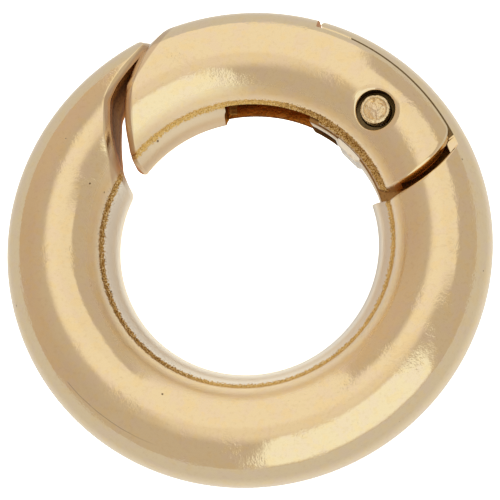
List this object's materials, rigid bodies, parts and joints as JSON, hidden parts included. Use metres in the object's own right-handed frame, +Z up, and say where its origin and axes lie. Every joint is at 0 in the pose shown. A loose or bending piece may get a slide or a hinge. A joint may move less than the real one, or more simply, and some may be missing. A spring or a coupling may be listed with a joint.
{
  "type": "round spring gate ring clasp",
  "caption": "Thick round ring clasp whose gate swings inward on a rivet pin and springs shut, so a chain end or a bail can be hooked on.",
  "frame": {"origin": "on the surface that the ring lies on, below the centre of the ring", "axes": "+Z up through the hole, out of the front face; +X towards the right and +Y towards the gate as one looks down on the front"},
  "size_m": [0.018, 0.018, 0.0037],
  "materials": {
    "gold_plating": "polished",
    "pin_end": "hammered and polished"
  },
  "bodies": {
    "ring": {"ring_body": "gold_plating", "hinge_pin": "pin_end"},
    "gate": {"gate": "gold_plating"}
  },
  "joints": [
    {"name": "gate_swing", "type": "hinge", "parent": "ring", "child": "gate", "pos_m": [0.00477, 0.00477, 0.00185], "axis": [0, 0, 1], "range_deg": [0, 40], "stiffness_Nm_per_rad": 0.015, "springref_deg": -0.57}
  ]
}
